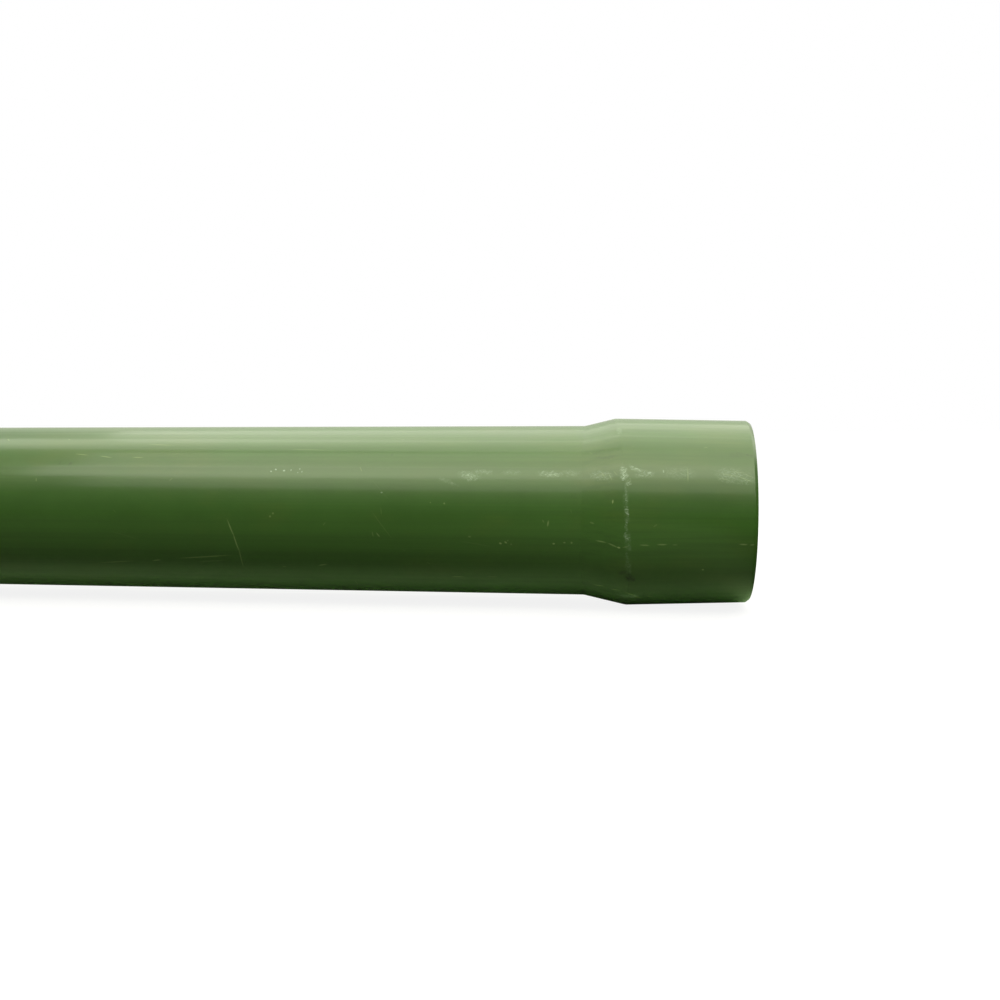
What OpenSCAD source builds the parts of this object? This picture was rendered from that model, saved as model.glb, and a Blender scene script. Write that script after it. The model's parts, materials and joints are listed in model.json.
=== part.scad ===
// Belled-end rigid PVC electrical conduit, 4 inch nominal, one length of stock.
// The pipe lies along X with its bell towards +X and rests on the bell's ridge.
// The origin is on the floor, below the middle of the length. Millimetres, +Z up.

/* [Barrel] */
// Overall length, from the plain end to the mouth of the bell
pipe_len = 3000; // [1000:50:6000]
// Outside diameter of the barrel
barrel_od = 114.3; // [80:0.1:220]
// Wall thickness of the barrel
wall = 3; // [1.6:0.1:6]
// Chamfer that breaks the outer edge of the plain end
end_chamfer = 1; // [0.2:0.1:1.5]

/* [Bell] */
// Length of the bell, from its ridge to its mouth
bell_len = 84.5; // [60:0.5:160]
// Radial step from the barrel up to the ridge, where the bell is widest
ridge_rise = 6.35; // [5:0.05:12]
// Half-angle of the flare between the barrel and the ridge, in degrees
flare_angle = 15; // [8:0.5:30]
// Radial gap between the mouth and a pipe pushed into it
socket_gap = 0.25; // [0.05:0.05:0.5]
// Depth of the straight round land inside the mouth
land_len = 15; // [5:1:40]
// Wall thickness at the mouth
mouth_wall = 2.9; // [1.6:0.1:6]
// Length of the chamfer around the outside of the mouth
mouth_chamfer = 2.2; // [1:0.1:6]
// Width of the flat rim that the chamfer leaves
rim_w = 1.3; // [0.2:0.1:1.5]

/* [Finish] */
// Colour of the plastic
pvc_color = "#48662f"; // [#48662f, #3f7a3a, #d8d8d2, #e07a1f]

/* [Hidden] */
$fn = 180;

barrel_r = barrel_od / 2;
bore_r = barrel_r - wall;
ridge_r = barrel_r + ridge_rise;
socket_r = barrel_r + socket_gap;
mouth_r = socket_r + mouth_wall;

// Stations along the pipe, counted from the plain end
ridge_x = pipe_len - bell_len;
flare_x = ridge_x - ridge_rise / tan(flare_angle);
// The inner flare starts a little later, so that the wall keeps its thickness
inner_flare_x = flare_x + wall * tan(flare_angle / 2);

// Half of the pipe's section as [radius, station] points
outer_wall = [
    [barrel_r - end_chamfer, 0],
    [barrel_r, end_chamfer],
    [barrel_r, flare_x],
    [ridge_r, ridge_x],
    [mouth_r, pipe_len - mouth_chamfer],
    [socket_r + rim_w, pipe_len]
];
inner_wall = [
    [socket_r, pipe_len],
    [socket_r, pipe_len - land_len],
    [ridge_r - wall, ridge_x],
    [bore_r, inner_flare_x],
    [bore_r, 0]
];

// The whole pipe: its section turned once around the axis, then laid along X
module conduit_pipe() {
    color(pvc_color)
    translate([-pipe_len / 2, 0, ridge_r])
    rotate([0, 90, 0])
    rotate_extrude()
    polygon(concat(outer_wall, inner_wall));
}

conduit_pipe();
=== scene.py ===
import json
from math import atan2, ceil, cos, hypot, inf, pi, radians, sin, tan
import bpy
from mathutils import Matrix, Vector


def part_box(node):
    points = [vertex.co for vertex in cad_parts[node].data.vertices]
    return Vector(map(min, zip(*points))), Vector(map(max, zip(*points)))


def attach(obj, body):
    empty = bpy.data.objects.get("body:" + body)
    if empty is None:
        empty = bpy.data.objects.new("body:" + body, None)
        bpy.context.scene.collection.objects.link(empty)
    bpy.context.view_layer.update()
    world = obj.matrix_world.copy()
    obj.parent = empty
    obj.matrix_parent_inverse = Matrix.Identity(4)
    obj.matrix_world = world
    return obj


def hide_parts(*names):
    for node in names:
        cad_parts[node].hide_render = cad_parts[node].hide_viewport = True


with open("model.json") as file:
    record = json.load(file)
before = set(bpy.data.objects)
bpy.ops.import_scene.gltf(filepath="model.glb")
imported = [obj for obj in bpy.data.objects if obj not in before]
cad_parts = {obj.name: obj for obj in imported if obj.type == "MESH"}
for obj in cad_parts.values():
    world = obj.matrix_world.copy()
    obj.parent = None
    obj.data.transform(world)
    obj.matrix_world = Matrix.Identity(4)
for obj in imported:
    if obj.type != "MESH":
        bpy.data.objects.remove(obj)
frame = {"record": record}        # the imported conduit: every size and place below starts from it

from types import SimpleNamespace

import bmesh
import bpy
from bpy.props import FloatProperty, FloatVectorProperty, IntProperty, PointerProperty
from mathutils import Color, Quaternion, Vector

bl_info = {
    "name": "Belled PVC conduit",
    "version": (1, 0, 0),
    "blender": (4, 5, 0),
    "location": "3D View > Sidebar > Conduit",
    "description": "One length of green PVC conduit with a belled end, and its studio",
    "category": "Object",
}

NODE = "conduit_pipe"
BODY = "root"
MM = 0.001
SAME_PLACE = 0.01 * MM   # points nearer than this are one
GUARD = 1 * MM           # from a rounded corner to its guard ring
ROUNDING_STEPS = 4       # faces across a rounded corner
SMOOTH_UP_TO = radians(30)

# The bake map, in parts of its side: the gap between rows, and the rows' heights.
GUTTER = 0.006
BELL_ROW, BARREL_ROW, BORE_ROW = 0.36, 0.16, 0.12
BARREL_ROWS = 3
BELL_ROW_REACH = 0.5     # metres of wall by the mouth that the bell's row holds

low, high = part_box(NODE)
MOUNTS = {mount["name"]: mount for mount in frame["record"]["mounts"]}
AXIS_Z = MOUNTS["socket"]["pos_m"][2]


def mount_size(mount, key):
    """A mount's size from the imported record, in metres."""
    return MOUNTS[mount]["dims"][key] * MM


# ---------------------------------------------------------------- settings


class ConduitSizes(bpy.types.PropertyGroup):
    """Sizes of the pipe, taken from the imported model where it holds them."""

    barrel_radius: FloatProperty(
        name="Barrel radius", description="Outside radius of the straight barrel",
        default=mount_size("spigot", "r_mm"), unit="LENGTH")
    bore_radius: FloatProperty(
        name="Bore radius", description="Inside radius of the straight barrel",
        default=mount_size("cable_way", "r_mm"), unit="LENGTH")
    socket_radius: FloatProperty(
        name="Socket radius", description="Inside radius of the land in the mouth",
        default=mount_size("socket", "r_mm"), unit="LENGTH")
    ridge_radius: FloatProperty(
        name="Ridge radius", description="Outside radius where the bell is widest",
        default=AXIS_Z - low.z, unit="LENGTH")
    land_length: FloatProperty(
        name="Land length", description="Depth of the straight land in the mouth",
        default=mount_size("socket", "length_mm"), unit="LENGTH")
    bell_length: FloatProperty(
        name="Bell length", description="From the ridge to the mouth",
        default=84.5 * MM, unit="LENGTH")
    flare_angle: FloatProperty(
        name="Flare angle", description="Slope of the flare between barrel and ridge",
        default=radians(15), subtype="ANGLE")
    mouth_wall: FloatProperty(
        name="Mouth wall", description="Wall thickness at the mouth",
        default=2.9 * MM, unit="LENGTH")
    mouth_chamfer: FloatProperty(
        name="Mouth chamfer", description="Length of the chamfer round the mouth",
        default=2.2 * MM, unit="LENGTH")
    rim_width: FloatProperty(
        name="Rim width", description="Flat rim that the mouth's chamfer leaves",
        default=1.3 * MM, unit="LENGTH")
    end_chamfer: FloatProperty(
        name="End chamfer", description="Broken outer edge of the plain end",
        default=1 * MM, unit="LENGTH")
    ridge_lean: FloatProperty(
        name="Ridge lean", description="How far the hand-formed ridge leans out of square",
        default=radians(5.7), subtype="ANGLE")
    lean_towards: FloatProperty(
        name="Lean towards", description="Where the ridge comes nearest the mouth, up from "
        "the front", default=radians(-34), subtype="ANGLE")
    ridge_drop: FloatProperty(
        name="Ridge drop", description="How far the hand-formed ridge sits below the axis",
        default=0.7 * MM, unit="LENGTH")
    wall_length: FloatProperty(
        name="Wall length", description="Outside of the wall along its section, as modelled",
        default=0, unit="LENGTH")
    ridge_back: FloatProperty(
        name="Ridge from mouth", description="From rim to ridge along the wall, as modelled",
        default=0, unit="LENGTH")
    sides: IntProperty(
        name="Sides", description="Number of faces round the pipe", default=256, min=64)
    ring_spacing: FloatProperty(
        name="Ring spacing", description="Longest face along the pipe",
        default=100 * MM, unit="LENGTH")


class ConduitFinish(bpy.types.PropertyGroup):
    """Colours and finish of the plastic."""

    pvc_color: FloatVectorProperty(
        name="PVC", description="Green of the plastic", subtype="COLOR_GAMMA",
        default=(0.208, 0.353, 0.118), size=3, min=0, max=1)
    scratch_color: FloatVectorProperty(
        name="Scratch colour", description="Colour of fine scratches and nicks",
        subtype="COLOR_GAMMA", default=(0.60, 0.67, 0.44), size=3, min=0, max=1)
    scuff_color: FloatVectorProperty(
        name="Scuff colour", description="Colour of the chalky marks where it was rubbed",
        subtype="COLOR_GAMMA", default=(0.78, 0.86, 0.76), size=3, min=0, max=1)
    dirt_color: FloatVectorProperty(
        name="Dirt", description="Grime in the smudges", subtype="COLOR_GAMMA",
        default=(0.10, 0.15, 0.08), size=3, min=0, max=1)
    cut_color: FloatVectorProperty(
        name="Saw cut", description="Sawn faces at both ends", subtype="COLOR_GAMMA",
        default=(0.40, 0.52, 0.32), size=3, min=0, max=1)
    wear: FloatProperty(
        name="Wear", description="How pale the scratches and scuffs are",
        default=0.85, min=0, max=1)
    near_wear: FloatProperty(
        name="Wear near the bell", description="Strength of the strewn scratches there",
        default=0.2, min=0, max=1)
    roughness: FloatProperty(
        name="Roughness", description="Roughness of the plastic under its skin",
        default=0.36, min=0, max=1)
    skin: FloatProperty(
        name="Skin", description="Share of the glossy skin that drawing leaves",
        default=0.32, min=0, max=1)
    skin_roughness: FloatProperty(
        name="Skin roughness", description="Roughness of that skin",
        default=0.12, min=0, max=1)
    gloss_tint: FloatVectorProperty(
        name="Gloss tint", description="Tint of the plastic's reflections",
        subtype="COLOR", default=(1.0, 0.98, 0.80), size=3, min=0, max=1)


class StudioSettings(bpy.types.PropertyGroup):
    """Camera, lamps and floor."""

    azimuth: FloatProperty(
        name="Azimuth", description="Turn of the camera round the bell",
        default=radians(7.24), subtype="ANGLE")
    elevation: FloatProperty(
        name="Elevation", description="Height of the camera above the horizon",
        default=radians(4), subtype="ANGLE")
    distance: FloatProperty(
        name="Distance", description="From the camera to the point that it looks at",
        default=0.6957, unit="LENGTH")
    aim_back: FloatProperty(
        name="Aim", description="How far behind the mouth the camera looks",
        default=0.1663, unit="LENGTH")
    aim_up: FloatProperty(
        name="Aim height", description="How far above the pipe's axis the camera looks",
        default=0.0066, unit="LENGTH")
    roll: FloatProperty(
        name="Roll", description="Turn of the camera about its line of sight",
        default=radians(0.14), subtype="ANGLE")
    lens: FloatProperty(
        name="Lens", description="Focal length in millimetres on a 36 mm sensor",
        default=36.47, min=10)
    far_light: FloatProperty(
        name="Far light", description="Radiance of the softbox over the plain end",
        default=2.0, min=0)
    back_light: FloatProperty(
        name="Back light", description="Radiance of the softbox over the pipe's back",
        default=1.75, min=0)
    top_light: FloatProperty(
        name="Top light", description="Radiance of the softbox right over the pipe",
        default=2.5, min=0)
    upper_light: FloatProperty(
        name="Upper light", description="Radiance of the front's upper softbox",
        default=2.7, min=0)
    front_light: FloatProperty(
        name="Front light", description="Radiance of the front's main softbox",
        default=4.2, min=0)
    low_light: FloatProperty(
        name="Low light", description="Radiance of the dim softbox under the main one",
        default=1.6, min=0)
    lamp_color: FloatVectorProperty(
        name="Lamp colour", description="Colour of the softboxes' cloth",
        default=(1.0, 1.0, 0.88), subtype="COLOR", size=3, min=0, max=1)
    backdrop: FloatProperty(
        name="Backdrop", description="Level of the pale backdrop behind the pipe",
        default=0.95, min=0)
    dark_side: FloatProperty(
        name="Dark side", description="Share of the room's level low down on the side that "
        "the mouth faces", default=0.2, min=0, max=1)
    side_top: FloatProperty(
        name="Side top", description="Share of the room's level higher up on that side",
        default=1.2, min=0)
    fill: FloatProperty(
        name="Fill", description="Level of the room's own light", default=0.15, min=0)
    floor_color: FloatVectorProperty(
        name="Floor", description="Colour of the pale floor cloth, as the pipe mirrors it",
        subtype="COLOR", default=(0.50, 0.74, 0.38), size=3, min=0, max=1)
    card_color: FloatVectorProperty(
        name="Card", description="Colour of the dark card that lies in front of the pipe "
        "and keeps its gloss deep", subtype="COLOR", default=(0.078, 0.092, 0.066),
        size=3, min=0, max=1)
    card_end: FloatVectorProperty(
        name="Card end", description="Colour of the card's paler end by the mouth",
        subtype="COLOR", default=(0.165, 0.20, 0.135), size=3, min=0, max=1)
    floor_shadow: FloatProperty(
        name="Floor shadow", description="How much of the floor's own light the camera sees",
        default=0.14, min=0, max=1)


# ---------------------------------------------------------------- modelling


def start_clean():
    """Leaves nothing selected: the loaded nodes come in selected."""
    bpy.ops.object.select_all(action="DESELECT")


def bell_stations(sizes):
    """Where along the pipe its ridge is, and where the flare up to it starts."""
    ridge = high.x - sizes.bell_length
    return ridge, ridge - (sizes.ridge_radius - sizes.barrel_radius) / tan(sizes.flare_angle)


def wall_corners(sizes):
    """The wall's section as (x, radius, rounding) corners, once round from the bore's
    edge at the plain end: over the outside to the mouth, and back along the bore."""
    plain, mouth = low.x, high.x
    wall = sizes.barrel_radius - sizes.bore_radius
    ridge, flare = bell_stations(sizes)
    inner_flare = flare + wall * tan(sizes.flare_angle / 2)
    ridge_radius = sizes.ridge_radius - sizes.ridge_drop
    mouth_radius = sizes.socket_radius + sizes.mouth_wall
    return [
        (plain, sizes.bore_radius, 0),
        (plain, sizes.barrel_radius - sizes.end_chamfer, 0.2 * MM),
        (plain + sizes.end_chamfer, sizes.barrel_radius, 0.2 * MM),
        (flare, sizes.barrel_radius, 1 * MM),
        (ridge, ridge_radius, 0.8 * MM),
        (mouth - sizes.mouth_chamfer, mouth_radius, 0.3 * MM),
        (mouth, sizes.socket_radius + sizes.rim_width, 0.2 * MM),
        (mouth, sizes.socket_radius, 0.2 * MM),
        (mouth - sizes.land_length, sizes.socket_radius, 1 * MM),
        (ridge, ridge_radius - wall, 1.5 * MM),
        (inner_flare, sizes.bore_radius, 2 * MM),
        (plain, sizes.bore_radius, 0),
    ]


def wall_rings(sizes):
    """Every ring of the mesh as (x, radius, rounding): the section's corners, a guard
    ring on each side of a corner to hold the shading of the long walls straight, and
    rings between them no further apart than the spacing."""
    corners = wall_corners(sizes)
    rings = [corners[0]]
    for start, end in zip(corners, corners[1:]):
        length = hypot(end[0] - start[0], end[1] - start[1])
        first, last = 2 * start[2] + GUARD, length - 2 * end[2] - GUARD
        if last > first:
            steps = ceil((last - first) / sizes.ring_spacing)
            for step in range(steps + 1):
                part = (first + (last - first) * step / steps) / length
                rings.append((
                    start[0] + (end[0] - start[0]) * part,
                    start[1] + (end[1] - start[1]) * part, 0))
        rings.append(end)
    return rings


def share_at(x, sizes):
    """How far a ring at x shares in the ridge's faults: 1 at the ridge, 0 past the bell."""
    ridge, flare = bell_stations(sizes)
    rise = (x - flare) / (ridge - flare)
    fall = (high.x - x) / (high.x - ridge)
    return max(0, min(rise, fall, 1))


def tag_ring(mesh, along, rounding):
    """Writes on the selected ring how far round the section it is and its rounding."""
    form = bmesh.from_edit_mesh(mesh)
    section = form.verts.layers.float["section"]
    weight = form.edges.layers.float["bevel_weight_edge"]
    for vert in form.verts:
        if vert.select:
            vert[section] = along
    for edge in form.edges:
        if edge.select:
            edge[weight] = rounding
    bmesh.update_edit_mesh(mesh)


def pick_ring(mesh, along):
    """Selects the ring that was tagged at this distance round the section."""
    bpy.ops.mesh.select_all(action="DESELECT")
    form = bmesh.from_edit_mesh(mesh)
    section = form.verts.layers.float["section"]
    for vert in form.verts:
        vert.select = abs(vert[section] - along) < SAME_PLACE
    form.select_flush_mode()
    bmesh.update_edit_mesh(mesh)


def pull_ring(old, new):
    """Extrudes the selected open ring from one (x, radius) to the next."""
    bpy.ops.mesh.extrude_edges_move(
        TRANSFORM_OT_translate={"value": (new[0] - old[0], 0, 0)})
    grow = new[1] / old[1]
    bpy.ops.transform.resize(
        value=(1, grow, grow), center_override=(new[0], 0, AXIS_Z))


def form_bell(mesh, rings, sizes):
    """Leans and drops each ring of the bell by its share, as forming by hand left it."""
    along = 0
    for old, new in zip(rings, rings[1:]):
        along += hypot(new[0] - old[0], new[1] - old[1])
        share = share_at(new[0], sizes)
        if share > 0:
            pick_ring(mesh, along)
            lean, centre = sizes.ridge_lean * share, (new[0], 0, AXIS_Z)
            bpy.ops.transform.rotate(
                value=-lean * cos(sizes.lean_towards), orient_axis="Z",
                center_override=centre)
            bpy.ops.transform.rotate(
                value=-lean * sin(sizes.lean_towards), orient_axis="Y",
                center_override=centre)
            bpy.ops.transform.translate(value=(0, 0, -sizes.ridge_drop * share))


def round_of(vert):
    """A vertex's angle round the pipe, up from the front, from -pi at the back to pi."""
    return atan2(vert.co.z - AXIS_Z, -vert.co.y)


def unroll(mesh, mouth_at, sizes):
    """Lays the wall out flat in metres: u runs back from the mouth, over the outside as
    positive and down the bore as negative, and v runs round, up from the front."""
    form = bmesh.from_edit_mesh(mesh)
    section = form.verts.layers.float["section"]
    flat = form.loops.layers.uv.new("Unrolled")
    for face in form.faces:
        turns = [round_of(loop.vert) for loop in face.loops]
        seam = max(turns) - min(turns) > pi
        for loop, turn in zip(face.loops, turns):
            if seam and turn < 0:
                turn += 2 * pi
            loop[flat].uv = (mouth_at - loop.vert[section], turn * sizes.barrel_radius)
    bmesh.update_edit_mesh(mesh)


def bake_rows(sizes):
    """The rows of the bake map as (start, end, height), in metres back from the rim
    along the wall: the bell's outside, the rest of the outside in equal lengths, and
    the bore."""
    rim = -sizes.rim_width
    step = (sizes.wall_length - BELL_ROW_REACH) / BARREL_ROWS
    starts = [BELL_ROW_REACH + step * row for row in range(BARREL_ROWS)]
    barrel = [(start, end, BARREL_ROW) for start, end in zip(starts, starts[1:] + [inf])]
    return [(rim, BELL_ROW_REACH, BELL_ROW), *barrel, (-inf, rim, BORE_ROW)]


def lay_out_bake(mesh, sizes):
    """Lays the wall out for baked textures, one row above the other."""
    form = bmesh.from_edit_mesh(mesh)
    flat = form.loops.layers.uv["Unrolled"]
    rows = form.loops.layers.uv.new("OFBake")
    turns = [loop[flat].uv.y for face in form.faces for loop in face.loops]
    first_turn, whole_turn = min(turns), max(turns) - min(turns)
    foot = GUTTER
    for start, end, height in bake_rows(sizes):
        band = [face for face in form.faces
                if start <= sum(loop[flat].uv.x for loop in face.loops) / len(face.loops) < end]
        backs = [loop[flat].uv.x for face in band for loop in face.loops]
        nearest, furthest = min(backs), max(backs)
        for face in band:
            for loop in face.loops:
                along = (loop[flat].uv.x - nearest) / (furthest - nearest)
                turn = (loop[flat].uv.y - first_turn) / whole_turn
                loop[rows].uv = (GUTTER + along * (1 - 2 * GUTTER), foot + turn * height)
        foot += height + GUTTER
    bmesh.update_edit_mesh(mesh)


class CONDUIT_OT_add_pipe(bpy.types.Operator):
    """Model the pipe by drawing one ring of its wall out along the section"""

    bl_idname = "conduit.add_pipe"
    bl_label = "Add pipe"
    bl_options = {"REGISTER", "UNDO"}

    def execute(self, context):
        sizes = context.scene.conduit_sizes
        rings = wall_rings(sizes)
        most_round = max(ring[2] for ring in rings)
        start_clean()
        bpy.ops.mesh.primitive_circle_add(
            vertices=sizes.sides, radius=rings[0][1], fill_type="NOTHING",
            location=(rings[0][0], 0, AXIS_Z), rotation=(0, pi / 2, 0))
        pipe = context.active_object
        pipe.name = pipe.data.name = "belled_conduit"
        bpy.ops.object.transform_apply()
        pipe.data.attributes.new("section", "FLOAT", "POINT")
        pipe.data.attributes.new("bevel_weight_edge", "FLOAT", "EDGE")
        bpy.ops.object.mode_set(mode="EDIT")
        bpy.ops.mesh.select_mode(type="EDGE")
        bpy.ops.mesh.select_all(action="SELECT")
        along, mouth_at = 0, 0
        for old, new in zip(rings, rings[1:]):
            along += hypot(new[0] - old[0], new[1] - old[1])
            pull_ring(old, new)
            tag_ring(pipe.data, along, new[2] / most_round)
            if new[0] == high.x and not mouth_at:
                mouth_at = along
                sizes.wall_length = along
            if new[1] == sizes.ridge_radius - sizes.ridge_drop:
                ridge_at = along
        sizes.ridge_back = mouth_at - ridge_at
        unroll(pipe.data, mouth_at, sizes)
        bpy.ops.mesh.select_mode(type="VERT")
        form_bell(pipe.data, rings, sizes)
        bpy.ops.mesh.select_all(action="SELECT")
        bpy.ops.mesh.remove_doubles(threshold=SAME_PLACE)
        bpy.ops.mesh.normals_make_consistent(inside=False)
        bpy.ops.object.mode_set(mode="OBJECT")
        bevel = pipe.modifiers.new("Rounded corners", "BEVEL")
        bevel.limit_method = "WEIGHT"
        bevel.width = most_round
        bevel.segments = ROUNDING_STEPS
        bevel.use_clamp_overlap = False
        bpy.ops.object.modifier_apply(modifier=bevel.name)
        bpy.ops.object.mode_set(mode="EDIT")
        lay_out_bake(pipe.data, sizes)
        bpy.ops.object.mode_set(mode="OBJECT")
        bpy.ops.object.shade_smooth_by_angle(angle=SMOOTH_UP_TO)
        pipe.data.materials.append(pvc_material(context.scene.conduit_finish, sizes))
        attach(pipe, BODY)
        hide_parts(NODE)
        return {"FINISHED"}


# ---------------------------------------------------------------- finish


# Noises on the pipe: how often each varies in a metre along it and across it, then its
# detail, its roughness and its seed.
NOISES = {
    "waves": ((4, 14, 14), 1, 0.5, 0),
    "bands": ((0.7, 45, 45), 2, 0.5, 3),
    "streaks": ((1.6, 420, 420), 3, 0.6, 7),
    "mottle": ((22, 30, 30), 4, 0.6, 11),
    "tint": ((14, 26, 26), 3, 0.6, 23),
    "grain": ((900, 1100, 1100), 2, 0.5, 5),
    "crumbs": ((500, 900, 900), 4, 0.8, 13),
    "patches": ((2, 75, 75), 3, 0.6, 17),
    "saw_lines": ((20, 60, 1500), 2, 0.5, 19),
}

# Where each noise shows in the colour or the wear: the values at which it starts and is
# full, and how much it shows at those.
SHOWS = {
    "mottle": (0.3, 0.7, 0, 1),
    "bands": (0.35, 0.75, 0, 0.7),
    "tint": (0.45, 0.7, 0, 0.6),
    "streaks": (0.4, 0.7, 0, 0.7),
    "crumbs": (0.38, 0.72, 0, 1),
    "patches": (0.48, 0.72, 0, 1),
}

# How far the surface goes up, in millimetres, with each noise, scrape and saw line.
RELIEF = {"waves": 0.20, "bands": 0.030, "streaks": 0.020, "mottle": 0.016, "grain": 0.0015}
SCRAPE_RELIEF = -0.03
SAW_RELIEF = 0.15

# What the plastic's colour is multiplied by where it is darker, paler and more olive.
DARKER, PALER, MORE_OLIVE = (0.86, 0.86, 0.86), (1.16, 1.16, 1.16), (1.5, 1.02, 1.1)

# How much rougher the surface gets with each.
ROUGHER_MOTTLE, ROUGHER_STREAK, ROUGHER_WORN = 0.10, 0.25, 0.25
ROUGHER_SMUDGE, ROUGHER_BORE, ROUGHER_SAWN = 0.25, 0.10, 0.3
PVC_IOR, SKIN_IOR = 1.54, 1.5

MARK_CORE = 0.35         # the part of a mark's half size that has its full strength
STROKE_CORE = 0.4, 0.2   # the same of a stroke's half length and of its half width
FAINTEST_STROKE = 0.3    # strength of the faintest strewn stroke beside the strongest
ANY_DEPTH = 1e6          # a half size that leaves a direction out of a mark's shape
CORNER_BLUR = 0.15       # millimetres, half the soft edge of a sawn face
MOUTH_BLUR = 0.1         # millimetres, half the soft edge between outside and inside
# painted shade: the bore's colour is made darker than the outside's, as shade inside the pipe
BORE_PAINTED_SHADE = 0.25        # how far the bore's colour is the darker one
RIDGE_WEAR = 0.6, 2.4    # millimetres from the ridge: fully worn, and not worn
NEAR_BELL = 440, 560     # millimetres from the mouth: the end of the sparse strokes near it
RAGGED = 4, 9            # millimetres along and round by which a rubbed edge wanders
RAGGED_SCALE = 150.0     # how often it does so in a metre
STROKES_SHOW = 1.1       # strength of the strokes in a rubbed patch
# The least and the most that crumbs leave of a rubbed patch, a smudge and the worn ridge.
RUBBED_DUST, SMUDGE_DUST, RIDGE_DUST = (0.14, 0.55), (0.5, 1), (0.05, 0.3)

# Strokes strewn over the wall, in metres: cell, chance of a stroke in it, spread of the
# turns in radians, half length, half width and strength.
STREWN_STROKES = (
    (0.150, 0.45, 0.5, 0.0500, 0.00040, 0.6),
    (0.080, 0.40, 3.0, 0.0120, 0.00035, 0.8),
    (0.030, 0.22, 6.0, 0.0016, 0.00045, 1.0),
)
# The fine strokes that a rubbed patch is made of, in the same order.
RUBBED_STROKES = (
    (0.0034, 0.95, 2.2, 0.0019, 0.00024, 1.0),
    (0.0023, 0.95, 2.2, 0.0012, 0.00024, 1.0),
)


def linear(color):
    """A colour as it looks on screen, as the renderer's own values."""
    return (*Color(color).from_srgb_to_scene_linear(), 1)


def add(tree, kind, sockets=None, **settings):
    """Adds a shader node; a socket given as an output is linked, a value is set."""
    made = tree.nodes.new(kind)
    for key, value in settings.items():
        setattr(made, key, value)
    for key, value in (sockets or {}).items():
        if isinstance(value, bpy.types.NodeSocket):
            tree.links.new(value, made.inputs[key])
        else:
            made.inputs[key].default_value = value
    return made


def calc(tree, operation, *values, clamp=False):
    """The result of one Math node."""
    return add(tree, "ShaderNodeMath", dict(enumerate(values)),
               operation=operation, use_clamp=clamp).outputs[0]


def calc_vector(tree, operation, *values):
    """The vector that one Vector Math node gives."""
    return add(tree, "ShaderNodeVectorMath", dict(enumerate(values)),
               operation=operation).outputs["Vector"]


def measure(tree, operation, *values):
    """The number that one Vector Math node gives, such as a length."""
    return add(tree, "ShaderNodeVectorMath", dict(enumerate(values)),
               operation=operation).outputs["Value"]


def fade(tree, value, start, end, low_end=0.0, high_end=1.0):
    """Goes smoothly from one level to the other as the value goes from start to end."""
    return add(tree, "ShaderNodeMapRange", {
        "Value": value, "From Min": start, "From Max": end,
        "To Min": low_end, "To Max": high_end},
        interpolation_type="SMOOTHSTEP").outputs["Result"]


def blend_colors(tree, share, under, over):
    """One colour laid over another by a share."""
    return add(tree, "ShaderNodeMix", {0: share, 6: under, 7: over},
               data_type="RGBA").outputs[2]


def clouds(tree, place, name):
    """One of the listed noises, 0 to 1."""
    stretch, detail, rough, seed = NOISES[name]
    placed = add(tree, "ShaderNodeMapping", {
        "Vector": place, "Scale": stretch, "Location": (seed, seed, seed)})
    return add(tree, "ShaderNodeTexNoise", {
        "Vector": placed.outputs[0], "Scale": 1.0, "Detail": detail,
        "Roughness": rough}).outputs["Fac"]


def new_group(name, inputs, output, output_kind="NodeSocketFloat"):
    """Starts a node group; gives its tree, its input sockets and its output node."""
    tree = bpy.data.node_groups.new(name, "ShaderNodeTree")
    for key, kind in inputs.items():
        tree.interface.new_socket(key, in_out="INPUT", socket_type=kind)
    tree.interface.new_socket(output, in_out="OUTPUT", socket_type=output_kind)
    return tree, add(tree, "NodeGroupInput").outputs, add(tree, "NodeGroupOutput")


def mark_group():
    """One mark on the wall: an oval of a given place, turn and half size, at its
    strength in its middle and 0 outside. The wall is measured in millimetres back from
    the mouth and round from the front. Its third number carries the mask on from mark
    to mark, so that each is worked out after the last and the renderer never has to
    hold them all at once."""
    tree, given, out = new_group("wall_mark", {
        "Wall": "NodeSocketVector", "Middle": "NodeSocketVector",
        "Turn": "NodeSocketFloat", "Half size": "NodeSocketVector",
        "Strength": "NodeSocketFloat"}, "Wall", "NodeSocketVector")
    from_middle = calc_vector(tree, "SUBTRACT", given["Wall"], given["Middle"])
    turned = add(tree, "ShaderNodeVectorRotate", {
        "Vector": from_middle, "Angle": given["Turn"]}, rotation_type="Z_AXIS", invert=True)
    scaled = calc_vector(tree, "DIVIDE", turned.outputs[0], given["Half size"])
    distance = measure(tree, "LENGTH", scaled)
    mask = fade(tree, distance, MARK_CORE, 1.0, given["Strength"], 0.0)
    back, around, so_far = add(tree, "ShaderNodeSeparateXYZ", {0: given["Wall"]}).outputs
    add_to = add(tree, "ShaderNodeCombineXYZ", {
        0: back, 1: around, 2: calc(tree, "MAXIMUM", so_far, mask)})
    tree.links.new(add_to.outputs[0], out.inputs[0])
    return tree


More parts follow.
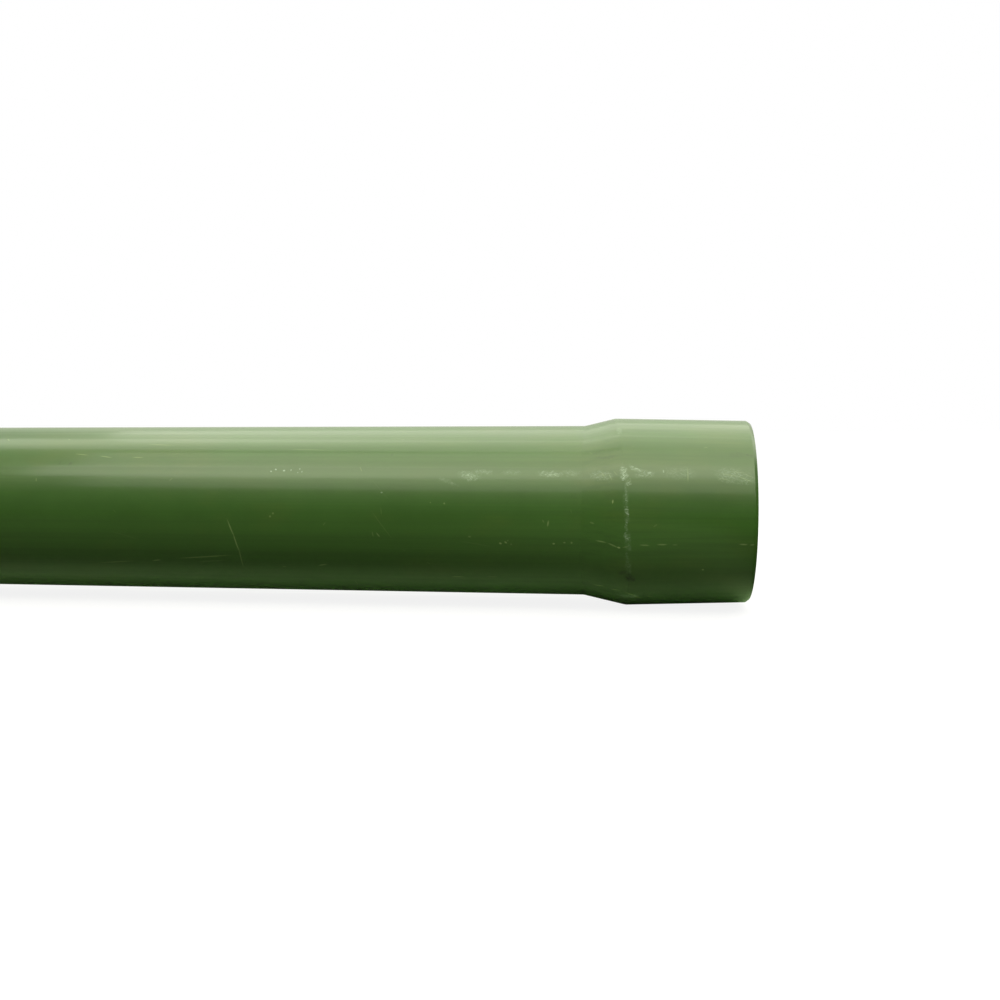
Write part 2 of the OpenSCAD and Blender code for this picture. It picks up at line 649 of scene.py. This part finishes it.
def stroke_group():
    """Short straight strokes strewn over the wall, one to a cell, each with its own
    turn, length and strength. Cell and half sizes are in metres."""
    tree, given, out = new_group("strewn_strokes", {
        "Place": "NodeSocketVector", "Around": "NodeSocketVector",
        "Cell": "NodeSocketFloat", "Chance": "NodeSocketFloat",
        "Spread": "NodeSocketFloat", "Half length": "NodeSocketFloat",
        "Half width": "NodeSocketFloat"}, "Mask")
    cells = add(tree, "ShaderNodeTexVoronoi", {
        "Vector": calc_vector(tree, "DIVIDE", given["Place"], given["Cell"]), "Scale": 1.0})
    middle = add(tree, "ShaderNodeVectorMath", {
        0: cells.outputs["Position"], 3: given["Cell"]}, operation="SCALE").outputs[0]
    offset = calc_vector(tree, "SUBTRACT", given["Place"], middle)
    chances = add(tree, "ShaderNodeSeparateColor", {0: cells.outputs["Color"]}).outputs
    flat = add(tree, "ShaderNodeCombineXYZ", {
        0: add(tree, "ShaderNodeSeparateXYZ", {0: offset}).outputs[0],
        1: measure(tree, "DOT_PRODUCT", offset, given["Around"])}).outputs[0]
    turn = calc(tree, "MULTIPLY", calc(tree, "SUBTRACT", chances[0], 0.5), given["Spread"])
    turned = add(tree, "ShaderNodeSeparateXYZ", {0: add(
        tree, "ShaderNodeVectorRotate", {"Vector": flat, "Angle": turn},
        rotation_type="Z_AXIS").outputs[0]}).outputs
    length = calc(tree, "DIVIDE", calc(tree, "ABSOLUTE", turned[0]), given["Half length"])
    width = calc(tree, "DIVIDE", calc(tree, "ABSOLUTE", turned[1]), given["Half width"])
    stroke = calc(tree, "MULTIPLY", *(
        fade(tree, part, core, 1.0, 1.0, 0.0)
        for part, core in zip((length, width), STROKE_CORE)))
    there = calc(tree, "LESS_THAN", chances[1], given["Chance"])
    strength = calc(tree, "MULTIPLY_ADD", chances[2], 1 - FAINTEST_STROKE, FAINTEST_STROKE)
    tree.links.new(calc(tree, "MULTIPLY", calc(
        tree, "MULTIPLY", stroke, there), strength), out.inputs[0])
    return tree


# Marks on the pipe as (back from the mouth, round from the front, half length, half
# width, turn in degrees, strength), in millimetres along the wall. Up is positive.
# First, scratches and nicks.
SCRATCHES = (
    # one long curved scratch across the barrel
    (338, -9, 8, 0.55, 72, 0.50), (335.5, -19, 9.5, 0.55, 80, 0.50),
    (334.3, -31, 10, 0.55, 91, 0.40),
    # a long drag mark low on the barrel, broken in three
    (423, -36, 16, 0.6, -5, 0.28), (394, -34, 4, 0.6, -8, 0.40),
    (360, -30.5, 24, 0.6, -5, 0.42), (355, -34, 13, 0.5, -4, 0.18),
    # faint drags high on the barrel
    (448, 42.5, 6, 0.5, 7, 0.30), (430, 40.5, 6, 0.5, 9, 0.32), (407, 40, 5, 0.5, 0, 0.30),
    (395, 52, 12, 0.5, 3, 0.18), (290, 47, 18, 0.5, 2, 0.15),
    # nicks
    (279.5, -36, 4, 0.6, -12, 0.50), (306, -38, 2, 0.6, 5, 0.25),
    (260.5, -56, 4.5, 0.5, 80, 0.22), (190.5, -45.8, 5.5, 0.5, 0, 0.42),
    (167.5, -45, 5, 0.5, 0, 0.20), (239.5, -12.5, 2.4, 0.6, 55, 0.40),
    (243, -12, 2.2, 0.5, 80, 0.25), (180, -13, 1.3, 0.8, 0, 0.25),
    (130, -4, 2.6, 0.7, 100, 0.42), (133, -2.5, 1.4, 0.6, 60, 0.22),
    (103.5, -3, 1.6, 0.7, 20, 0.25), (237, 3, 3, 0.4, 85, 0.15),
    # the fine line round to the mouth
    (99, -14.2, 3.5, 0.55, 8, 0.42), (93, -15.9, 3.6, 0.6, 24, 0.38),
    (86.5, -16.2, 2.2, 0.5, -20, 0.25), (74.5, -15, 4.2, 0.5, 3, 0.36),
    (63, -14.7, 4.2, 0.55, 0, 0.46), (54.5, -14.9, 2.2, 0.45, 0, 0.24),
    (10, -14.8, 3.6, 0.55, 2, 0.48), (4.3, -15.1, 2.0, 0.5, -4, 0.42),
    # strokes on the bell and across the flare
    (44.7, 26, 5.4, 0.35, 93, 0.42), (100.5, -49.8, 4, 0.55, -6, 0.60),
    (92, -51, 3.4, 0.5, -4, 0.60), (82, -54.5, 7, 0.6, 34, 0.80),
    (79, -57.5, 4.5, 0.6, 22, 0.80), (70, -57, 3, 0.5, 10, 0.50),
    (19, 26.2, 6.5, 0.4, 10, 0.26), (9, 23.7, 6, 0.45, 22, 0.32),
    (7, 26, 5, 0.35, 24, 0.22), (13, 28, 6, 0.4, 4, 0.20), (22, 23.5, 5, 0.35, 12, 0.22),
    (97, 26.5, 2.6, 0.45, 60, 0.26), (93, 25, 3, 0.4, 70, 0.28), (90, 27, 2.2, 0.4, 55, 0.22),
    # small nicks
    (310.8, -1, 0.9, 0.9, 0, 0.35), (308.8, 1, 0.9, 0.9, 0, 0.35), (196, 8.2, 0.8, 0.8, 0, 0.4),
    (205, 8.7, 0.7, 0.7, 0, 0.2), (160.4, -17.4, 1.1, 0.8, 20, 0.7),
    (157, -16.7, 1.3, 0.7, 35, 0.62), (153.6, -18, 0.8, 0.8, 0, 0.25),
    (155.6, -15.4, 0.7, 0.7, 0, 0.25), (126.6, -17.2, 1.1, 0.8, 0, 0.6),
    (119.8, -16.4, 1.1, 0.6, 0, 0.42), (115.3, -16.4, 0.8, 0.9, 0, 0.42),
    (92.3, 10, 0.5, 1.5, 10, 0.6), (35.7, -31.6, 1, 0.8, 0, 0.55),
    (90, -17, 1.1, 0.7, 10, 0.75),
)
# Pale specks, most of them in a row high on the barrel.
SPECKS = (
    (312.2, 29.2, 0.9, 0.7, 30, 0.46), (309.2, 30.6, 1, 0.7, 40, 0.56),
    (303.5, 29.8, 1, 0.8, 0, 0.59), (298.8, 30.2, 0.6, 0.9, 0, 0.37),
    (293, 31, 0.6, 0.7, 0, 0.37), (291.3, 29, 0.6, 0.8, 0, 0.31),
    (294, 28.4, 0.5, 0.6, 0, 0.28), (237, 15, 0.9, 0.7, 0, 0.25), (69, 27, 1.9, 0.9, -12, 0.34),
    (60, 28, 0.6, 1.3, 0, 0.28), (181.5, 27, 1.2, 1, 20, 0.37), (129, 27.6, 2, 0.9, 0, 0.28),
)
# Rubbed patches near the bell and along its ridge.
SCUFFS = (
    (181, 26.5, 9, 3.4, 10, 0.38), (172, 29, 8, 2.6, 5, 0.22), (194, 22, 9, 2.0, 20, 0.15),
    (154, 29, 8, 2.4, 0, 0.16), (129, 28, 11, 3.0, 0, 0.36), (116, 28.5, 8, 2.2, 0, 0.18),
    (98, 26, 9, 4.2, 10, 0.22), (85, 28.5, 3.0, 3.2, 0, 0.50), (85, 24.5, 3.4, 2.8, 0, 0.68),
    (77, 29.5, 6.0, 2.0, 20, 0.46), (72, 26, 8, 2.6, -6, 0.24), (83, 20, 2.8, 1.8, 0, 0.40),
    (15, 25, 17, 6.0, 12, 0.22), (50, 27, 14, 5, 0, 0.10), (85, 11, 1.1, 6.0, 0, 0.30),
    (85, 4.5, 1.6, 4.0, 0, 0.60), (85.5, -3, 1.1, 6.5, 0, 0.32), (86, -10.5, 1.4, 3.6, 0, 0.46),
    (85, 17, 1.0, 5.0, 0, 0.25), (86, -24, 1.0, 7.0, 0, 0.14), (84, -56, 9, 3.6, 0, 0.50),
)
# Dirt.
SMUDGES = (
    (84, -37.5, 4.6, 3.8, 20, 0.95), (88, -34, 3.0, 2.0, 0, 0.60),
    (4.6, 39.8, 4.4, 1.1, 3, 0.55), (12, 40, 9, 2.2, 3, 0.22), (95, 38.5, 9, 1.6, 8, 0.28),
    (99, 43, 7, 1.0, -20, 0.22), (454, 34, 1.5, 2.2, 30, 0.50), (461.4, 35, 0.7, 2.4, 0, 0.30),
    (233, 42, 0.8, 2.0, 0, 0.35),
)


def marks(tree, group, wall, rows):
    """All marks of one list, each at its strength, as one mask."""
    for back, around, half_length, half_width, turn, strength in rows:
        wall = add(tree, "ShaderNodeGroup", {
            "Wall": wall, "Middle": (back, around, 0), "Turn": radians(turn),
            "Half size": (half_length, half_width, ANY_DEPTH), "Strength": strength},
            node_tree=group).outputs[0]
    return add(tree, "ShaderNodeSeparateXYZ", {0: wall}).outputs[2]


def strewn(tree, group, at, layers):
    """All layers of one list of strewn strokes, each at its strength, as one mask."""
    mask = 0.0
    for cell, chance, spread, half_length, half_width, strength in layers:
        layer = add(tree, "ShaderNodeGroup", {
            "Place": at.place, "Around": at.around, "Cell": cell, "Chance": chance,
            "Spread": spread, "Half length": half_length, "Half width": half_width},
            node_tree=group).outputs[0]
        mask = calc(tree, "MAXIMUM", mask, calc(tree, "MULTIPLY", layer, strength))
    return mask


def most(tree, *masks):
    """The strongest of some masks."""
    strongest = masks[0]
    for mask in masks[1:]:
        strongest = calc(tree, "MAXIMUM", strongest, mask)
    return strongest


def place_on_pipe(tree, sizes):
    """Where a point is: its place, its wall place in millimetres, the direction round
    the pipe, and masks for the outside and the sawn faces."""
    place = add(tree, "ShaderNodeTexCoord").outputs["Object"]
    unrolled = add(tree, "ShaderNodeUVMap", uv_map="Unrolled").outputs[0]
    wall = add(tree, "ShaderNodeVectorMath", {0: unrolled, 3: 1 / MM}, operation="SCALE").outputs[0]
    back, _, _ = add(tree, "ShaderNodeSeparateXYZ", {0: wall}).outputs
    _, across, up = add(tree, "ShaderNodeSeparateXYZ", {0: place}).outputs
    around = calc_vector(tree, "NORMALIZE", add(tree, "ShaderNodeCombineXYZ", {
        1: calc(tree, "SUBTRACT", up, AXIS_Z),
        2: calc(tree, "MULTIPLY", across, -1.0)}).outputs[0])
    rim = -sizes.rim_width / MM
    rim_face = calc(tree, "MULTIPLY", fade(tree, back, CORNER_BLUR, -CORNER_BLUR),
                    fade(tree, back, rim - CORNER_BLUR, rim + CORNER_BLUR))
    plain_wall = sizes.barrel_radius - sizes.bore_radius - sizes.end_chamfer
    plain_edge = (sizes.wall_length - plain_wall) / MM
    plain_face = fade(tree, back, plain_edge - CORNER_BLUR, plain_edge + CORNER_BLUR)
    return SimpleNamespace(
        place=place, wall=wall, back=back, around=around,
        outside=fade(tree, back, -MOUTH_BLUR, MOUTH_BLUR),
        sawn=most(tree, rim_face, plain_face))


def pipe_wear(tree, at, finish, sizes):
    """Masks of the wear. Listed marks lie near the bell, strewn ones everywhere."""
    mark, stroke = mark_group(), stroke_group()
    crumbs, patches = (
        fade(tree, clouds(tree, at.place, name), *SHOWS[name]) for name in ("crumbs", "patches"))
    wander = add(tree, "ShaderNodeTexNoise", {
        "Vector": at.place, "Scale": RAGGED_SCALE, "Detail": 5.0, "Roughness": 0.8})
    middle = calc_vector(tree, "SUBTRACT", at.wall, (RAGGED[0] / 2, RAGGED[1] / 2, 0))
    ragged = calc_vector(tree, "MULTIPLY_ADD", wander.outputs["Color"], (*RAGGED, 0), middle)

    rubbed = calc(tree, "MULTIPLY_ADD", strewn(tree, stroke, at, RUBBED_STROKES),
                  STROKES_SHOW, fade(tree, crumbs, 0, 1, *RUBBED_DUST))
    scuffs = calc(tree, "MULTIPLY", marks(tree, mark, ragged, SCUFFS), rubbed)
    smudges = calc(tree, "MULTIPLY", marks(tree, mark, ragged, SMUDGES),
                   fade(tree, crumbs, 0, 1, *SMUDGE_DUST))

    from_ridge = calc(tree, "ABSOLUTE", calc(
        tree, "SUBTRACT", at.back, sizes.ridge_back / MM))
    ridge = calc(tree, "MULTIPLY", fade(tree, from_ridge, *RIDGE_WEAR, 1, 0), calc(
        tree, "MULTIPLY", patches, fade(tree, crumbs, 0, 1, *RIDGE_DUST)))

    there = calc(tree, "MULTIPLY", at.outside, fade(
        tree, at.back, *NEAR_BELL, finish.near_wear, 1.0))
    strokes = calc(tree, "MULTIPLY", strewn(tree, stroke, at, STREWN_STROKES), there)
    return SimpleNamespace(
        scratches=marks(tree, mark, at.wall, SCRATCHES), strokes=strokes,
        specks=marks(tree, mark, at.wall, SPECKS), scuffs=scuffs, ridge=ridge,
        smudges=smudges, scraped=most(tree, ridge, strokes))


def pipe_color(tree, at, noise, wear, finish):
    """Green plastic with clouds and streaks, then its wear, a painted shade that darkens its bore,
    and its sawn faces.
    """
    plain = linear(finish.pvc_color)
    dark, pale, olive = (
        (*(part * change for part, change in zip(plain, changes)), 1)
        for changes in (DARKER, PALER, MORE_OLIVE))
    color = dark
    for name, over in (("mottle", plain), ("bands", pale), ("tint", olive), ("streaks", dark)):
        color = blend_colors(tree, fade(tree, noise[name], *SHOWS[name]), color, over)

    scratched = most(tree, wear.scratches, wear.strokes)
    rubbed = most(tree, wear.specks, wear.scuffs, wear.ridge)
    for mask, worn_color in (
            (scratched, finish.scratch_color), (rubbed, finish.scuff_color)):
        share = calc(tree, "MULTIPLY", mask, finish.wear)
        color = blend_colors(tree, share, color, linear(worn_color))
    color = blend_colors(tree, wear.smudges, color, linear(finish.dirt_color))

    # painted shade: the bore is blended towards the darker green
    color = blend_colors(tree, fade(tree, at.outside, 0, 1, BORE_PAINTED_SHADE, 0), color, dark)
    cut = blend_colors(tree, noise["saw_lines"], plain, linear(finish.cut_color))
    return blend_colors(tree, at.sawn, color, cut)


def pipe_roughness(tree, at, noise, wear, finish):
    """The plastic's roughness, which its clouds, streaks, wear and cuts change."""
    worn = most(tree, wear.scratches, wear.specks, wear.scuffs, wear.scraped)
    rough = finish.roughness
    for amount, change in (
            (calc(tree, "SUBTRACT", noise["mottle"], 0.5), ROUGHER_MOTTLE),
            (calc(tree, "SUBTRACT", noise["streaks"], 0.5), ROUGHER_STREAK),
            (worn, ROUGHER_WORN), (wear.smudges, ROUGHER_SMUDGE),
            (calc(tree, "SUBTRACT", 1.0, at.outside), ROUGHER_BORE)):
        rough = calc(tree, "MULTIPLY_ADD", amount, change, rough)
    return calc(tree, "MULTIPLY_ADD", at.sawn, ROUGHER_SAWN, rough, clamp=True)


def pipe_relief(tree, at, noise, wear):
    """The surface's fine relief, in metres, as a changed normal."""
    height = 0.0
    for name, rise in RELIEF.items():
        height = calc(tree, "MULTIPLY_ADD", noise[name], rise * MM, height)
    height = calc(tree, "MULTIPLY_ADD", wear.scraped, SCRAPE_RELIEF * MM, height)
    cut = calc(tree, "MULTIPLY", at.sawn, noise["saw_lines"])
    height = calc(tree, "MULTIPLY_ADD", cut, SAW_RELIEF * MM, height)
    return add(tree, "ShaderNodeBump", {
        "Height": height, "Strength": 1.0, "Distance": 1.0}).outputs[0]


def pvc_material(finish, sizes):
    """Semi-gloss extruded PVC: drawn streaks, faint clouds, handling scratches and
    scuffs, a worn ridge, and sawn ends."""
    material = bpy.data.materials.new("green_pvc_shell")
    material.use_nodes = True
    tree = material.node_tree
    shader = tree.nodes["Principled BSDF"]
    at = place_on_pipe(tree, sizes)
    drawn = ("waves", "bands", "streaks", "mottle", "tint", "grain", "saw_lines")
    noise = {name: clouds(tree, at.place, name) for name in drawn}
    wear = pipe_wear(tree, at, finish, sizes)
    for key, value in (
            ("Base Color", pipe_color(tree, at, noise, wear, finish)),
            ("Roughness", pipe_roughness(tree, at, noise, wear, finish)),
            ("Normal", pipe_relief(tree, at, noise, wear))):
        tree.links.new(value, shader.inputs[key])
    for key, value in (
            ("IOR", PVC_IOR), ("Specular Tint", (*finish.gloss_tint, 1)),
            ("Coat Weight", finish.skin), ("Coat Roughness", finish.skin_roughness),
            ("Coat IOR", SKIN_IOR)):
        shader.inputs[key].default_value = value
    return material


# ---------------------------------------------------------------- studio


# The softboxes as (name, middle past the mouth, angle, turn, reach, length and width,
# setting that holds the radiance), in metres and degrees.
SOFTBOXES = (
    ("far_softbox", -2.90, 78, 0, 1.3, (2.30, 1.10), "far_light"),
    ("back_softbox", 0.34, 124, 0, 1.3, (2.92, 0.80), "back_light"),
    ("top_softbox", 0, 97, 8, 1.3, (3.40, 0.54), "top_light"),
    ("upper_softbox", 0.15, 71.5, 2, 1.1, (2.40, 0.45), "upper_light"),
    ("front_softbox", 0.18, 52, 3, 1.1, (2.64, 0.31), "front_light"),
    ("low_softbox", 0.13, 35, 6, 1.1, (2.35, 0.35), "low_light"),
)

# The floor, in metres. Each soft edge is given by where it starts and ends.
FLOOR_SIZE = 60
CARD_EDGE = -0.06, -0.02     # behind the pipe's axis: the card in front gives way to cloth
CARD_PALES = -0.3, 0.1       # past the mouth: the card turns to its paler end
BEYOND_EDGE = -0.015, 0.03   # past the mouth: the black card beyond it starts
BEYOND_BLACK = 0.93          # how far that card covers the cloth
GLOW_EDGE = 0.1, 0.6         # away from the axis: the floor glows up to full white
GLOW_OVERLAP = 0.05          # how far before the pipe's ends that distance starts to count

# Where the room's light changes, from the start to the end of each change, by how far a
# direction points behind the pipe, past its mouth, or up (1 is straight that way).
ROOM_BEHIND = -0.1, 0.8
ROOM_BESIDE = 0.3, 0.7
ROOM_RISE = 0.0, 0.5

SENSOR_WIDTH = 36            # millimetres
NEAREST_SEEN = 0.01          # metres


def add_softbox(name, along, angle, turn, reach, size, radiance, color):
    """Adds a rectangular soft light, its long side along the pipe. The angle goes up
    from the front horizon, over the pipe, to the back; the turn, in the box's own
    plane, swings the end by the mouth forwards; reach is from the pipe's axis."""
    start_clean()
    out = Vector((0, -cos(angle), sin(angle)))
    place = Vector((along, 0, AXIS_Z)) + out * reach
    facing = out.to_track_quat("Z", "Y") @ Quaternion((0, 0, 1), -turn)
    bpy.ops.object.light_add(type="AREA", location=place, rotation=facing.to_euler())
    lamp = bpy.context.active_object
    lamp.name = lamp.data.name = name
    lamp.data.shape = "RECTANGLE"
    lamp.data.size, lamp.data.size_y = size
    lamp.data.energy = radiance * pi * size[0] * size[1]
    lamp.data.color = color


def floor_material(studio):
    """A pale floor with a dark card on it in front of the pipe and another beyond the
    mouth. The camera sees neither: to it the floor glows up to white, with the pipe's
    soft shadow."""
    material = bpy.data.materials.new("pale_floor")
    material.use_nodes = True
    tree = material.node_tree
    tree.nodes.clear()
    shadow = studio.floor_shadow
    place = add(tree, "ShaderNodeTexCoord").outputs["Object"]
    along, behind, _ = add(tree, "ShaderNodeSeparateXYZ", {0: place}).outputs
    past_mouth = calc(tree, "SUBTRACT", along, high.x)
    card = blend_colors(tree, fade(tree, past_mouth, *CARD_PALES), (*studio.card_color, 1),
                        (*studio.card_end, 1))
    cloth = blend_colors(tree, fade(tree, behind, *CARD_EDGE), card,
                         (*studio.floor_color, 1))
    cloth = blend_colors(tree, fade(tree, past_mouth, *BEYOND_EDGE, 0, BEYOND_BLACK), cloth,
                         (0, 0, 0, 1))
    lit = add(tree, "ShaderNodeBsdfDiffuse", {"Color": cloth})
    seen_lit = add(tree, "ShaderNodeBsdfDiffuse", {"Color": (shadow, shadow, shadow, 1)})
    past_end = calc(tree, "SUBTRACT", calc(tree, "ABSOLUTE", along), high.x)
    away = calc(tree, "MAXIMUM", calc(tree, "ABSOLUTE", behind), calc(
        tree, "ADD", past_end, GLOW_OVERLAP))
    glow = add(tree, "ShaderNodeEmission", {
        "Color": (1, 1, 1, 1), "Strength": fade(tree, away, *GLOW_EDGE, 1 - shadow, 1.0)})
    seen = add(tree, "ShaderNodeAddShader", {0: seen_lit.outputs[0], 1: glow.outputs[0]})
    path = add(tree, "ShaderNodeLightPath")
    floor = add(tree, "ShaderNodeMixShader", {
        0: path.outputs["Is Camera Ray"], 1: lit.outputs[0], 2: seen.outputs[0]})
    add(tree, "ShaderNodeOutputMaterial", {"Surface": floor.outputs[0]})
    return material


def room_world(studio):
    """A dim room with a pale backdrop behind the pipe, and darker low down on the side
    that the mouth faces. The camera sees plain white."""
    world = bpy.data.worlds.new("studio_room")
    world.use_nodes = True
    tree = world.node_tree
    tree.nodes.clear()
    toward = add(tree, "ShaderNodeTexCoord").outputs["Generated"]
    beside, behind, up = add(tree, "ShaderNodeSeparateXYZ", {0: toward}).outputs
    side = fade(tree, up, *ROOM_RISE, studio.dark_side, studio.side_top)
    share = add(tree, "ShaderNodeMix", {
        0: fade(tree, beside, *ROOM_BESIDE), 2: 1.0, 3: side}).outputs[0]
    level = calc(tree, "MULTIPLY", share, fade(
        tree, behind, *ROOM_BEHIND, studio.fill, studio.backdrop))
    room = add(tree, "ShaderNodeBackground", {
        "Color": (*studio.lamp_color, 1), "Strength": level})
    white = add(tree, "ShaderNodeBackground", {"Color": (1, 1, 1, 1)})
    path = add(tree, "ShaderNodeLightPath")
    mixed = add(tree, "ShaderNodeMixShader", {
        0: path.outputs["Is Camera Ray"], 1: room.outputs[0], 2: white.outputs[0]})
    add(tree, "ShaderNodeOutputWorld", {"Surface": mixed.outputs[0]})
    return world


class CONDUIT_OT_add_studio(bpy.types.Operator):
    """Add the floor, the soft lights and the camera"""

    bl_idname = "conduit.add_studio"
    bl_label = "Add studio"
    bl_options = {"REGISTER", "UNDO"}

    def execute(self, context):
        scene, studio = context.scene, context.scene.conduit_studio
        start_clean()
        bpy.ops.mesh.primitive_plane_add(size=FLOOR_SIZE, location=(0, 0, 0))
        floor = context.active_object
        floor.name = "studio_floor"
        floor.data.materials.append(floor_material(studio))

        for name, past_mouth, angle, turn, reach, size, setting in SOFTBOXES:
            add_softbox(name, high.x + past_mouth, radians(angle), radians(turn), reach, size,
                        getattr(studio, setting), studio.lamp_color)
        scene.world = room_world(studio)

        aim = Vector((high.x - studio.aim_back, 0, AXIS_Z + studio.aim_up))
        back = Vector((
            sin(studio.azimuth) * cos(studio.elevation),
            -cos(studio.azimuth) * cos(studio.elevation),
            sin(studio.elevation)))
        start_clean()
        looking = (-back).to_track_quat("-Z", "Y") @ Quaternion((0, 0, 1), -studio.roll)
        bpy.ops.object.camera_add(
            location=aim + back * studio.distance, rotation=looking.to_euler())
        camera = context.active_object
        camera.name = camera.data.name = "studio_camera"
        camera.data.lens = studio.lens
        camera.data.sensor_width = SENSOR_WIDTH
        camera.data.clip_start = NEAREST_SEEN
        scene.camera = camera
        scene.view_settings.view_transform = "Standard"
        return {"FINISHED"}


# ---------------------------------------------------------------- add-on


class CONDUIT_PT_sidebar(bpy.types.Panel):
    """Lists the conduit's operators"""

    bl_idname = "CONDUIT_PT_sidebar"
    bl_label = "Conduit"
    bl_space_type = "VIEW_3D"
    bl_region_type = "UI"
    bl_category = "Conduit"

    def draw(self, context):
        column = self.layout.column()
        column.operator(CONDUIT_OT_add_pipe.bl_idname)
        column.operator(CONDUIT_OT_add_studio.bl_idname)
        for group in ("conduit_sizes", "conduit_finish", "conduit_studio"):
            settings = getattr(context.scene, group)
            box = self.layout.box()
            for key in settings.__annotations__:
                box.prop(settings, key)


GROUPS = {
    "conduit_sizes": ConduitSizes,
    "conduit_finish": ConduitFinish,
    "conduit_studio": StudioSettings,
}
CLASSES = (
    *GROUPS.values(), CONDUIT_OT_add_pipe, CONDUIT_OT_add_studio, CONDUIT_PT_sidebar)


def register():
    for cls in CLASSES:
        bpy.utils.register_class(cls)
    for name, group in GROUPS.items():
        setattr(bpy.types.Scene, name, PointerProperty(type=group))


def unregister():
    for name in GROUPS:
        delattr(bpy.types.Scene, name)
    for cls in reversed(CLASSES):
        bpy.utils.unregister_class(cls)


def main():
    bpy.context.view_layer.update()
    register()
    bpy.ops.conduit.add_pipe()
    bpy.ops.conduit.add_studio()


if __name__ == "__main__":
    main()
